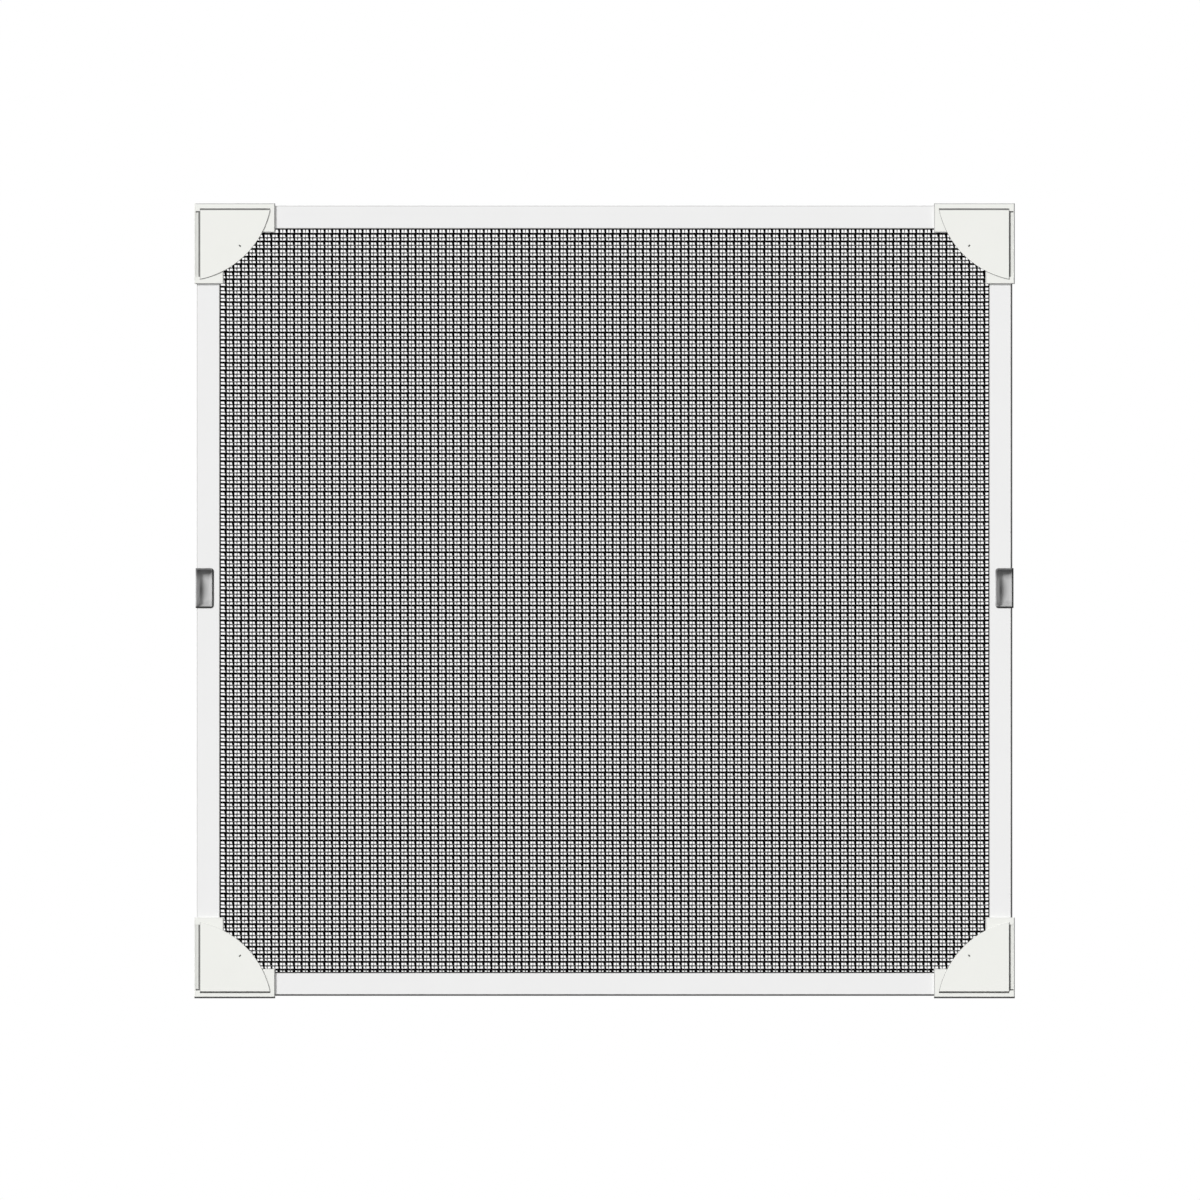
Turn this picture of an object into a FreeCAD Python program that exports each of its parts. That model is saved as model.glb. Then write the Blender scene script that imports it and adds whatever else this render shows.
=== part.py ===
"""Window insect screen: hollow rails, moulded corner connectors, woven cloth, splines and finger pulls.

Millimetres. X runs to the right, Y runs away from the viewer and Z runs up. The origin is at the middle
of the frame's underside, so the frame stands as it does in its window, with its plain face towards -Y.
"""

import FreeCAD, Part
import math
import os

from FreeCAD import Matrix, Vector

# Whole frame, over the corner connectors
frame_width = 680.0
frame_height = 659.0

# Rolled rail section
rail_width = 19.05
rail_depth = 8.0
rail_wall = 0.7
rail_edge_radius = 0.8
groove_width = 4.0
groove_depth = 4.6

# Corner connector: sleeve, tongue and web
slip = 0.15
rail_end_gap = 0.3
sleeve_reach = 67.0
sleeve_side_wall = 1.9
sleeve_front_wall = 2.0
sleeve_back_wall = 1.5
sleeve_inner_wall = 3.1
sleeve_edge_chamfer = 0.8
tongue_length = 36.0
tongue_play = 0.25
tongue_skin = 1.6
tongue_tip_chamfer = 1.2
tongue_pockets = 3
crush_rib_width = 0.8
crush_rib_height = 0.2
crush_rib_spacing = 5.0
block_wall = 2.2
web_arc_radius = 74.5
web_arc_from_sleeve_end = 77.0
web_rib_count = 3
web_rib_spread = 20.0
web_rib_wall = 1.4
web_rib_height = 3.0

# Raised fan-shaped plate on each connector, with the sunk lines beside it
plate_raise = 0.8
plate_side_inset = 4.6
plate_end_inset = 5.5
plate_chamfer = 0.3
line_width = 1.2
line_depth = 1.1
strip_edge = 1.1
strip_depth = 0.4
strip_start = 6.5
strip_end_gap = 6.0
pin_mark_in_across = 4.9
pin_mark_in_up = 7.4
pin_mark_length = 2.0
pin_mark_width = 1.1
pin_mark_depth = 1.2

# Woven cloth: heavy strands at the pitch and fine strands half way between them, gathered into bars
cloth_wall = 0.4
cloth_clearance = 0.3
strand_pitch = 6.286
strand_shift_up = 2.3
heavy_strand_width = 1.5
heavy_strand_height = 0.5
fine_strand_width = 0.9
fine_strand_height = 0.3
gap_columns = 11
gap_rows = 10
bar_strands = 3
bar_margin = 0.3

# Spline cord pressed into the groove over the cloth's hem
spline_play = 0.1

# Finger pull let into each stile
pull_length = 33.15
pull_above_middle = 10.5
pull_overhang = 1.0
pull_face_reach = 14.0
pull_flange = 0.6
pull_flange_lap = 1.2
pull_body_depth = 6.6
pull_corner_radius = 2.5
pull_outer_bevel = 0.6
pull_edge_chamfer = 0.2
pull_rim = 0.45
pull_wall = 0.8
dish_depth = 5.6
dish_waist_depth = 4.2
dish_floor_inset = 4.2
dish_floor_radius = 1.4

# Places that follow from the sizes above
rail_inset = sleeve_side_wall + slip
leg_width = rail_inset + rail_width + slip + sleeve_inner_wall
total_depth = plate_raise + sleeve_front_wall + slip + rail_depth + slip + sleeve_back_wall
plate_front_y = -total_depth / 2
base_front_y = plate_front_y + plate_raise
base_back_y = base_front_y + sleeve_front_wall
rail_front_y = base_back_y + slip
rail_back_y = rail_front_y + rail_depth
sleeve_back_y = rail_back_y + slip + sleeve_back_wall
opening_inset = rail_inset + rail_width
groove_in = opening_inset - rail_wall
groove_out = groove_in - groove_width
groove_floor_y = rail_back_y - groove_depth
cloth_back_y = rail_back_y - heavy_strand_height
cloth_front_y = cloth_back_y - cloth_wall
strand_front_y = cloth_front_y - heavy_strand_height
keep_clear_y = strand_front_y - cloth_clearance
cavity_near = rail_inset + rail_wall
cavity_far = groove_out - rail_wall
web_arc_offset = web_arc_from_sleeve_end - sleeve_reach
strip_end = sleeve_reach - strip_end_gap
horizontal_rail_length = frame_width - 2 * (leg_width + rail_end_gap)
upright_rail_length = frame_height - 2 * (leg_width + rail_end_gap)
spline_diameter = groove_width - cloth_wall - spline_play
far = 4 * total_depth

parts_folder = "parts"


def block(x, y, z):
    """A box between two values along each axis."""
    return Part.makeBox(x[1] - x[0], y[1] - y[0], z[1] - z[0], Vector(x[0], y[0], z[0]))


def prism(points, y):
    """A prism along Y over an outline in the XZ plane."""
    outline = [Vector(px, y[0], pz) for px, pz in points]
    face = Part.Face(Part.makePolygon(outline + outline[:1]))
    return face.extrude(Vector(0, y[1] - y[0], 0))


def edges_along(shape, direction, keep):
    """Straight edges along a direction whose middle passes a test."""
    chosen = []
    for edge in shape.Edges:
        if edge.Curve.TypeId != "Part::GeomLine":
            continue
        if abs(abs(edge.tangentAt(edge.FirstParameter).dot(direction)) - 1) > 1e-6:
            continue
        if keep(edge.CenterOfMass):
            chosen.append(edge)
    return chosen


def front_edges(shape, y):
    """Every edge that lies in the plane at y."""
    level = []
    for edge in shape.Edges:
        box = edge.BoundBox
        if abs(box.YMin - y) < 1e-4 and abs(box.YMax - y) < 1e-4:
            level.append(edge)
    return level


def mirrored(shape, across, up):
    """The same shape on the right-hand side, the top, or both."""
    if across:
        shape = shape.mirror(Vector(0, 0, 0), Vector(1, 0, 0))
    if up:
        shape = shape.mirror(Vector(0, 0, frame_height / 2), Vector(0, 0, 1))
    return shape


def turned(shape, degrees):
    """Turns a shape about the frame's middle, so that a left side becomes another side."""
    matrix = Matrix()
    matrix.rotateY(math.radians(degrees))
    matrix.move(Vector(0, 0, frame_height / 2))
    return placed(shape, matrix)


def placed(shape, matrix):
    """A copy of the shape under a rigid move."""
    copy = shape.copy()
    copy.transformShape(matrix, True)
    return copy


def rail(length, half_span):
    """A rolled hollow rail with its spline groove, standing at the left of a centred frame."""
    near = -half_span + rail_inset
    far_side = near + rail_width
    groove_left = far_side - rail_wall - groove_width
    groove_right = far_side - rail_wall
    lip_y = cloth_front_y
    half = length / 2
    outer = [
        (near, rail_front_y),
        (far_side, rail_front_y),
        (far_side, lip_y),
        (groove_right, lip_y),
        (groove_right, groove_floor_y),
        (groove_left, groove_floor_y),
        (groove_left, rail_back_y),
        (near, rail_back_y),
    ]
    inner = [
        (near + rail_wall, rail_front_y + rail_wall),
        (groove_right, rail_front_y + rail_wall),
        (groove_right, groove_floor_y - rail_wall),
        (groove_left - rail_wall, groove_floor_y - rail_wall),
        (groove_left - rail_wall, rail_back_y - rail_wall),
        (near + rail_wall, rail_back_y - rail_wall),
    ]
    solid = column(outer, half)
    corners = [(near, rail_front_y), (far_side, rail_front_y), (near, rail_back_y)]

    def is_rounded(point):
        return any(abs(point.x - x) < 1e-4 and abs(point.y - y) < 1e-4 for x, y in corners)

    rounded = solid.makeFillet(rail_edge_radius, edges_along(solid, Vector(0, 0, 1), is_rounded))
    return rounded.cut(column(inner, half + 1))


def column(points, half):
    """A prism along Z over an outline in the XY plane, centred on z = 0."""
    outline = [Vector(px, py, -half) for px, py in points]
    face = Part.Face(Part.makePolygon(outline + outline[:1]))
    return face.extrude(Vector(0, 0, 2 * half))


def horizontal_rail(top):
    """The bottom rail, or the top one."""
    return turned(rail(horizontal_rail_length, frame_height / 2), 90 if top else -90)


def stile(right):
    """The left or right rail, with the notch that takes the finger pull."""
    plain = turned(rail(upright_rail_length, frame_width / 2), 0)
    return mirrored(plain.cut(pull_notch()), right, False)


def pull_middle():
    return frame_height / 2 + pull_above_middle


def pull_notch():
    """The space cut out of the left stile's front wall and outer wall for the pull's body."""
    outer_face = -frame_width / 2 + rail_inset
    half = pull_length / 2 - pull_flange_lap + slip
    x = (outer_face - 1, outer_face + pull_face_reach - pull_flange_lap + slip)
    y = (rail_front_y - 1, rail_front_y + pull_body_depth + slip)
    return block(x, y, (pull_middle() - half, pull_middle() + half))


def rounded_outline(x, z, y, inner_radius, outer_bevel):
    """A rectangle in the XZ plane, its corners rounded on the inner side and bevelled on the outer."""
    x0, x1 = x
    z0, z1 = z
    ri, ro = inner_radius, outer_bevel
    k = math.sqrt(0.5)

    def at(px, pz):
        return Vector(px, y, pz)

    def bend(start, cx, cz, sx, sz, radius, end):
        return Part.Arc(start, at(cx + sx * k * radius, cz + sz * k * radius), end).toShape()

    a, b = at(x0 + ro, z0), at(x1 - ri, z0)
    c, d = at(x1, z0 + ri), at(x1, z1 - ri)
    e, f = at(x1 - ri, z1), at(x0 + ro, z1)
    g, h = at(x0, z1 - ro), at(x0, z0 + ro)
    edges = [
        Part.makeLine(a, b),
        bend(b, x1 - ri, z0 + ri, 1, -1, ri, c),
        Part.makeLine(c, d),
        bend(d, x1 - ri, z1 - ri, 1, 1, ri, e),
        Part.makeLine(e, f),
        Part.makeLine(f, g),
        Part.makeLine(g, h),
        Part.makeLine(h, a),
    ]
    return Part.Wire(edges)


def finger_pull(right):
    """The dished pull: a flange over the stile's face, a body in the notch and a lofted finger hollow."""
    outer_face = -frame_width / 2 + rail_inset
    x = (outer_face - pull_overhang, outer_face + pull_face_reach)
    middle = pull_middle()
    half = pull_length / 2
    z = (middle - half, middle + half)
    face_y = rail_front_y - pull_flange
    flange_wire = rounded_outline(x, z, face_y, pull_corner_radius, pull_outer_bevel)
    flange = Part.Face(flange_wire).extrude(Vector(0, pull_flange, 0))
    flange = flange.makeChamfer(pull_edge_chamfer, front_edges(flange, face_y))
    body_half = half - pull_flange_lap
    body_x = (x[0], x[1] - pull_flange_lap)
    body_back_y = rail_front_y + pull_body_depth
    body = block(body_x, (rail_front_y, body_back_y), (middle - body_half, middle + body_half))
    skirt = block((x[0], outer_face), (rail_front_y, body_back_y), z)
    solid = flange.fuse([body, skirt])
    wall_inset = pull_flange_lap + pull_wall
    dish = [
        (pull_rim, 0, pull_corner_radius - pull_rim),
        (pull_flange_lap, pull_flange / 2, pull_corner_radius - pull_flange_lap),
        (wall_inset, 2 * pull_flange, dish_floor_radius),
        ((wall_inset + dish_floor_inset) / 2, dish_waist_depth, dish_floor_radius),
        (dish_floor_inset, dish_depth, dish_floor_radius),
    ]
    wires = []
    for inset, depth, radius in dish:
        dish_x = (x[0] + inset, x[1] - inset)
        dish_z = (z[0] + inset, z[1] - inset)
        wires.append(rounded_outline(dish_x, dish_z, face_y + depth, radius, pull_outer_bevel))
    hollow = Part.makeLoft(wires, True, True)
    return mirrored(solid.cut(hollow), right, False)


def fan(inset_across, inset_up, y):
    """The connector's square, less what lies outside the web's arc and the two insets."""
    centre = Vector(-web_arc_offset, y[0], -web_arc_offset)
    disc = Part.makeCylinder(web_arc_radius, y[1] - y[0], centre, Vector(0, 1, 0))
    square = block((inset_across, sleeve_reach), y, (inset_up, sleeve_reach))
    return disc.common(square)


def connector_front():
    """The front wall of both legs and the web between them."""
    y = (base_front_y, base_back_y)
    across = block((0, sleeve_reach), y, (0, leg_width))
    upright = block((0, leg_width), y, (0, sleeve_reach))
    return across.fuse([upright, fan(0, 0, y)]).removeSplitter()


def leg_walls(across):
    """One leg's outer, inner and back walls, which wrap the end of a rail."""
    reach = (0, sleeve_reach)
    outer = (reach, (base_back_y, sleeve_back_y), (0, sleeve_side_wall))
    inner = (reach, (base_back_y, keep_clear_y), (leg_width - sleeve_inner_wall, leg_width))
    back = (reach, (rail_back_y + slip, sleeve_back_y), (0, groove_out - rail_wall - slip))
    walls = []
    for run, y, level in (outer, inner, back):
        walls.append(block(run, y, level) if across else block(level, y, run))
    return walls


def tongue(across):
    """The ribbed tongue that plugs into a rail's hollow."""
    near = cavity_near + tongue_play
    wide = cavity_far - tongue_play
    low_y = rail_front_y + rail_wall + tongue_play
    high_y = rail_back_y - rail_wall - tongue_play
    run = (leg_width - block_wall, leg_width + tongue_length)
    solid = block(run, (low_y, high_y), (near, wide))
    tip = edges_at(solid, lambda p: abs(p.x - run[1]) < 1e-4)
    solid = solid.makeChamfer(tongue_tip_chamfer, tip)
    cell = (tongue_length - tongue_skin) / tongue_pockets
    pockets = []
    for index in range(tongue_pockets):
        start = leg_width + tongue_skin + index * cell
        pocket_x = (start, start + cell - tongue_skin)
        pocket_z = (near + tongue_skin, wide - tongue_skin)
        pockets.append(block(pocket_x, (low_y + tongue_skin, high_y + 1), pocket_z))
    solid = solid.cut(Part.makeCompound(pockets))
    length = tongue_length - 2 * tongue_tip_chamfer
    ribs = []
    for side in (-1, 1):
        centre_z = (near + wide + side * crush_rib_spacing) / 2
        rib = [
            Vector(leg_width, low_y + crush_rib_height, centre_z - crush_rib_width),
            Vector(leg_width, low_y - crush_rib_height, centre_z),
            Vector(leg_width, low_y + crush_rib_height, centre_z + crush_rib_width),
        ]
        ribs.append(Part.Face(Part.makePolygon(rib + rib[:1])).extrude(Vector(length, 0, 0)))
    solid = solid.fuse(ribs)
    return solid if across else swapped(solid)


def swapped(shape):
    """Exchanges the connector's two legs."""
    copy = shape.copy()
    return copy.mirror(Vector(0, 0, 0), Vector(1, 0, -1))


def edges_at(shape, keep):
    """Edges whose whole run passes a test at both ends."""
    chosen = []
    for edge in shape.Edges:
        if all(keep(vertex.Point) for vertex in edge.Vertexes):
            chosen.append(edge)
    return chosen


def block_core():
    """The moulding's core behind the square where the legs meet, less a diagonal rib across it."""
    core_low = block_wall
    core_high = groove_out - block_wall
    core = block((core_low, core_high), (base_back_y, far), (core_low, core_high))
    half = web_rib_wall / math.sqrt(2)
    corners = [
        (core_low - half, core_low),
        (core_low, core_low - half),
        (core_high + half, core_high),
        (core_high, core_high + half),
    ]
    rib = prism(corners, (base_back_y, rail_back_y))
    return core.cut(rib)


def web_stiffening():
    """The bead along the web's free edge and the ribs behind the web."""
    y = (base_back_y, base_back_y + web_rib_height)
    centre = Vector(-web_arc_offset, y[0], -web_arc_offset)
    outer = Part.makeCylinder(web_arc_radius, web_rib_height, centre, Vector(0, 1, 0))
    inner = Part.makeCylinder(web_arc_radius - web_rib_wall, web_rib_height, centre, Vector(0, 1, 0))
    beside = (leg_width - sleeve_inner_wall, sleeve_reach)
    field = block(beside, y, beside)
    bead = outer.cut(inner).common(field)
    ribs = []
    start = leg_width - sleeve_inner_wall / 2
    for index in range(web_rib_count):
        angle = math.radians(45 + (index - (web_rib_count - 1) / 2) * web_rib_spread)
        along = (math.cos(angle), math.sin(angle))
        side = (-along[1] * web_rib_wall / 2, along[0] * web_rib_wall / 2)
        end = (start + web_arc_radius * along[0], start + web_arc_radius * along[1])
        outline = [
            (start + side[0], start + side[1]),
            (start - side[0], start - side[1]),
            (end[0] - side[0], end[1] - side[1]),
            (end[0] + side[0], end[1] + side[1]),
        ]
        ribs.append(prism(outline, y).common(outer).common(field))
    return [bead] + ribs


def cloth_space():
    """What the connector leaves open for the cloth, its hem and the spline."""
    past = sleeve_reach + far
    groove = (groove_out, past)
    inside = (groove_in, past)
    opening = (opening_inset + slip, past)
    channel = block(groove, (groove_floor_y, far), groove)
    lip = block(inside, (groove_floor_y - 1, cloth_front_y), inside)
    return channel.cut(lip).fuse(block(opening, (keep_clear_y, far), opening))


def sunk_lines():
    """The sunk lines beside the plate, the sunk side strip and the pin mark."""
    top_y = plate_front_y - 1
    line_y = (top_y, base_front_y + line_depth)
    arc_end = math.sqrt(web_arc_radius ** 2 - (plate_end_inset + web_arc_offset) ** 2) - web_arc_offset
    level = block((plate_side_inset, arc_end), line_y, (plate_end_inset - line_width, plate_end_inset))
    upright = block((plate_side_inset - line_width, plate_side_inset), line_y, (strip_start, strip_end))
    tick = block((strip_edge, plate_side_inset), line_y, (strip_start, strip_start + line_width))
    strip_y = (top_y, base_front_y + strip_depth)
    strip = block((strip_edge, plate_side_inset), strip_y, (strip_start, strip_end))
    mark = block(
        (-pin_mark_length / 2, pin_mark_length / 2),
        (top_y, plate_front_y + pin_mark_depth),
        (-pin_mark_width / 2, pin_mark_width / 2),
    )
    mark.rotate(Vector(0, 0, 0), Vector(0, 1, 0), -45)
    arc_middle = web_arc_radius * math.sqrt(0.5) - web_arc_offset
    mark.translate(Vector(arc_middle - pin_mark_in_across, 0, arc_middle - pin_mark_in_up))
    return [level, upright, tick, strip, mark]


def connector(right, top):
    """One moulded corner connector."""
    front = connector_front()
    front = front.makeChamfer(sleeve_edge_chamfer, front_edges(front, base_front_y))
    plate = fan(plate_side_inset, plate_end_inset, (plate_front_y, base_front_y + sleeve_edge_chamfer))
    plate = plate.makeChamfer(plate_chamfer, front_edges(plate, plate_front_y))
    pieces = [plate, block((0, leg_width), (base_back_y, sleeve_back_y), (0, leg_width))]
    pieces += leg_walls(True) + leg_walls(False)
    pieces += web_stiffening()
    solid = front.fuse(pieces)
    solid = solid.cut([cloth_space(), block_core()])
    solid = solid.fuse([tongue(True), tongue(False)])
    solid = solid.cut(Part.makeCompound(sunk_lines()))
    solid = solid.removeSplitter()
    solid.translate(Vector(-frame_width / 2, 0, 0))
    return mirrored(solid, right, top)


def strand_places(shift, span):
    """Where the heavy strands and the fine strands lie across the opening, from its low end."""
    heavy = []
    fine = []
    most = math.ceil(span / strand_pitch)
    for half_steps in range(-most, most + 1):
        place = span / 2 + shift + half_steps * strand_pitch / 2
        kind, width = (fine, fine_strand_width) if half_steps % 2 else (heavy, heavy_strand_width)
        if width < place < span - width:
            kind.append(place)
    return heavy, fine


def strand_bars(heavy, gaps, span):
    """Where the bars lie that part the cloth's open gaps, each as wide as a few heavy strands."""
    edge = heavy_strand_width / 2 + bar_margin
    step = (len(heavy) - bar_strands) / gaps
    bars = []
    for index in range(gaps + 1):
        first = round(index * step)
        bars.append((heavy[first] - edge, heavy[first + bar_strands - 1] + edge))
    bars[0] = (0, bars[0][1])
    bars[-1] = (bars[-1][0], span)
    return bars


def bar_outline(bar, heavy, fine, base, outward):
    """The end outline of half a bar: a ridge for every strand on one face, flat at the cloth's middle."""
    low, high = bar
    middle = base - outward * cloth_wall / 2
    ridges = [(place, heavy_strand_width / 2, heavy_strand_height) for place in heavy]
    ridges += [(place, fine_strand_width / 2, fine_strand_height) for place in fine]
    points = [(low, middle), (low, base)]
    for place, half, rise in sorted(ridges):
        if low < place < high:
            points += [(place - half, base), (place, base + outward * rise), (place + half, base)]
    return points + [(high, base), (high, middle)]


def swept(points, way):
    """A prism from a closed outline along a straight way."""
    return Part.Face(Part.makePolygon(points + points[:1])).extrude(way)


def woven_field(x0, z0, width, height):
    """Ridged bars of strands both ways, the uprights unbroken in front and the levels behind."""
    columns, fine_columns = strand_places(0, width)
    rows, fine_rows = strand_places(strand_shift_up, height)
    middle = (cloth_front_y + cloth_back_y) / 2
    field = []
    upright_spaces = []
    for bar in strand_bars(columns, gap_columns, width):
        points = bar_outline(bar, columns, fine_columns, cloth_front_y, -1)
        field.append(swept([Vector(x0 + along, y, z0) for along, y in points], Vector(0, 0, height)))
        x = (x0 + bar[0], x0 + bar[1])
        field.append(block(x, (middle, cloth_back_y), (z0, z0 + height)))
        upright_spaces.append(block(x, (-far, far), (z0, z0 + height)))
    passing = []
    for bar in strand_bars(rows, gap_rows, height):
        points = bar_outline(bar, rows, fine_rows, cloth_back_y, 1)
        field.append(swept([Vector(x0, y, z0 + along) for along, y in points], Vector(width, 0, 0)))
        points = bar_outline(bar, rows, [], cloth_front_y, -1)
        passing.append(swept([Vector(x0, y, z0 + along) for along, y in points], Vector(width, 0, 0)))
    field.append(Part.makeCompound(passing).cut(upright_spaces))
    return field


def ring(outer_inset, inner_inset, y):
    """A rectangular ring that follows the frame, between two insets from its outside."""
    left = -frame_width / 2
    x = (left + outer_inset, -left - outer_inset)
    z = (outer_inset, frame_height - outer_inset)
    hole_x = (left + inner_inset, -left - inner_inset)
    hole_z = (inner_inset, frame_height - inner_inset)
    return block(x, y, z).cut(block(hole_x, (y[0] - 1, y[1] + 1), hole_z))


def screen_cloth():
    """The woven cloth, its strands gathered into ridged bars, with its border turned into the groove."""
    hem_in = groove_in - spline_play / 2
    hem_out = hem_in - cloth_wall
    toe_out = groove_out + spline_play
    field_inset = opening_inset + cloth_clearance
    width = frame_width - 2 * field_inset
    height = frame_height - 2 * field_inset
    border = ring(hem_out, field_inset, (cloth_front_y, cloth_back_y))
    hem = ring(hem_out, hem_in, (groove_floor_y, cloth_back_y))
    toe = ring(toe_out, hem_in, (groove_floor_y, groove_floor_y + cloth_wall))
    field = woven_field(-width / 2, field_inset, width, height)
    return border.fuse([hem, toe] + field).removeSplitter()


def spline(side):
    """One length of spline cord, pressed into the groove beside the cloth's hem."""
    radius = spline_diameter / 2
    inset = groove_out + spline_play / 2 + radius
    y = groove_floor_y + cloth_wall + spline_play + radius
    if side in ("top", "bottom"):
        half = frame_width / 2 - groove_out - spline_play
        z = inset if side == "bottom" else frame_height - inset
        return Part.makeCylinder(radius, 2 * half, Vector(-half, y, z), Vector(1, 0, 0))
    low = inset + radius + spline_play
    x = -frame_width / 2 + inset if side == "left" else frame_width / 2 - inset
    return Part.makeCylinder(radius, frame_height - 2 * low, Vector(x, y, low), Vector(0, 0, 1))


def save(name, shape):
    """Writes one sub-part, which has to be one closed solid."""
    solids = shape.Solids
    if len(solids) != 1 or not shape.isValid():
        raise ValueError(f"{name} has {len(solids)} solids, valid: {shape.isValid()}")
    solids[0].exportStep(os.path.join(parts_folder, name + ".step"))
    box = solids[0].BoundBox
    size = f"{box.XLength:.2f} x {box.YLength:.2f} x {box.ZLength:.2f}"
    print(f"{name}: {size} mm, {solids[0].Volume / 1000:.2f} cm3, {len(solids[0].Faces)} faces")


def main():
    os.makedirs(parts_folder, exist_ok=True)
    save("top_rail", horizontal_rail(True))
    save("bottom_rail", horizontal_rail(False))
    save("left_stile", stile(False))
    save("right_stile", stile(True))
    for level, top in (("top", True), ("bottom", False)):
        for side, right in (("left", False), ("right", True)):
            save(f"corner_{level}_{side}", connector(right, top))
    save("screen_cloth", screen_cloth())
    for side in ("top", "bottom", "left", "right"):
        save("spline_" + side, spline(side))
    save("finger_pull_left", finger_pull(False))
    save("finger_pull_right", finger_pull(True))


main()
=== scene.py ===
"""Dresses the window screen: woven cloth, ribbed spline cord, dished finger pulls and their finishes.

The packed solids give the places. X runs to the right seen from the front, Y away from the viewer and Z up.
"""

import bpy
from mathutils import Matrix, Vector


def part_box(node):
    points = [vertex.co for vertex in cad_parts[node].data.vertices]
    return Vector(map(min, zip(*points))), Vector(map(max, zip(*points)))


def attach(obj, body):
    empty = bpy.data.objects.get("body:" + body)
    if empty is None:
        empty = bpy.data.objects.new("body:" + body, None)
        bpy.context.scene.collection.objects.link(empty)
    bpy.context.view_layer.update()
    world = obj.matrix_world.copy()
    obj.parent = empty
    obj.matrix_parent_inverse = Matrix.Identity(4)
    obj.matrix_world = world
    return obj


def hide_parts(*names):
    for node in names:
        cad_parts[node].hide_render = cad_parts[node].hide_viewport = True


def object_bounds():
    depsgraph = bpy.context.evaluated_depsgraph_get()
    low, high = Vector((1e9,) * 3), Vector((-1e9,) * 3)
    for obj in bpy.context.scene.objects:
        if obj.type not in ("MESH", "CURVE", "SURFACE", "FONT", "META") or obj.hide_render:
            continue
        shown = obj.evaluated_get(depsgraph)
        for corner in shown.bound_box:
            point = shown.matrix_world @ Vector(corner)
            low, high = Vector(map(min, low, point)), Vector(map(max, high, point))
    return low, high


bl_info = {
    "name": "Window Screen Dressing",
    "version": (1, 0, 0),
    "blender": (4, 5, 0),
    "location": "View3D > Sidebar > Window Screen",
    "description": "Weaves the cloth, rolls in the spline, moulds the finger pulls and finishes the frame",
    "category": "Object",
}

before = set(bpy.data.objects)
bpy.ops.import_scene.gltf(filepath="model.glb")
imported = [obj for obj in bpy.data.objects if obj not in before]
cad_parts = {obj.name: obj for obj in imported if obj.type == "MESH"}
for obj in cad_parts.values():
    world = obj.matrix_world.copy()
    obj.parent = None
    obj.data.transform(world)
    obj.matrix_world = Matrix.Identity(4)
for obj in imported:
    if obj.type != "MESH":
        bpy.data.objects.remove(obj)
cad_box = [list(corner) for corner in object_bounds()]

import math
import random

import bmesh
import bpy
from bpy.props import FloatProperty, FloatVectorProperty, IntProperty, PointerProperty
from mathutils import Matrix, Vector

MM = 0.001
RIGHT_ANGLE = math.radians(90)

# Gap that keeps two faces from lying in one plane
HAIR = 0.02 * MM

# Bevel of a finger pull's flange and skirt
PULL_EDGE = 0.2 * MM

SIDES = ("top", "bottom", "left", "right")
RAILS = ("top_rail", "bottom_rail", "left_stile", "right_stile")
CORNERS = ("corner_top_left", "corner_top_right", "corner_bottom_left", "corner_bottom_right")


def length(name, millimetres, description):
    """A size in metres, given in millimetres."""
    return FloatProperty(
        name=name,
        description=description,
        default=millimetres * MM,
        min=0.0,
        precision=5,
        subtype="DISTANCE",
        unit="LENGTH",
    )


def share(name, value, description):
    """A share of a size."""
    return FloatProperty(name=name, description=description, default=value, min=0.1, max=1.0)


def strength(name, value, description):
    """The strength of a light."""
    return FloatProperty(name=name, description=description, default=value, min=0.0)


def colour(name, value, description):
    """A plain colour."""
    return FloatVectorProperty(
        name=name, description=description, default=value, min=0.0, max=1.0, size=3, subtype="COLOR"
    )


class ClothSizes(bpy.types.PropertyGroup):
    """Sizes of the woven cloth."""

    pitch: length("Pitch", 6.286, "Distance between heavy strands, both ways")
    shift_up: length("Shift up", 2.52, "How far the middle level strand lies above the middle")
    shift_right: length("Shift right", 0.4, "How far the middle upright strand lies right of the middle")
    upright_width: length("Upright width", 2.37, "Width of a heavy upright strand below a level one")
    upright_waist: share("Upright waist", 0.61, "Share of that width left above a level strand")
    upright_depth: length("Upright depth", 0.84, "Thickness of a heavy upright strand")
    level_width: length("Level width", 1.76, "Width of a heavy level strand")
    level_depth: length("Level depth", 0.72, "Thickness of a heavy level strand")
    fine_width: length("Fine width", 1.3, "Width of a fine strand")
    fine_depth: length("Fine depth", 0.4, "Thickness of a fine strand")
    crimp: length("Crimp", 0.41, "How far a heavy strand leaves the cloth's middle at a crossing")
    fine_crimp: length("Fine crimp", 0.62, "How far a fine strand leaves the middle to pass a heavy one")
    fine_split: length("Fine split", 0.2, "How far two fine strands leave the middle where they cross")
    fine_bow: length("Fine bow", 0.5, "How far a fine upright strand bows aside above a level one")
    fine_drop: length("Fine drop", 0.22, "How far a fine level strand hangs below its place")
    fine_waist: share("Fine waist", 0.55, "Share of a fine strand's width left at a heavy strand")
    lean: length("Lean", 0.6, "Sideways drift of an upright strand between two crossings")
    knuckle: length("Knuckle", 0.75, "Half height of the short step where an upright passes a level strand")
    stray: length("Stray", 0.05, "Random sideways place error of a strand")
    sag: length("Sag", 0.32, "How far a level strand drops between two uprights, at most")
    middle: length("Middle", 3.95, "Depth of the cloth's middle plane behind the frame's middle")
    pressed: share("Pressed", 0.5, "Share of a strand's thickness left where it is pressed flat")
    hem_wall: length("Hem wall", 0.24, "Thickness of the border strip")
    border: length("Border", 0.9, "How far the border strip shows inside the rails")


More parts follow.
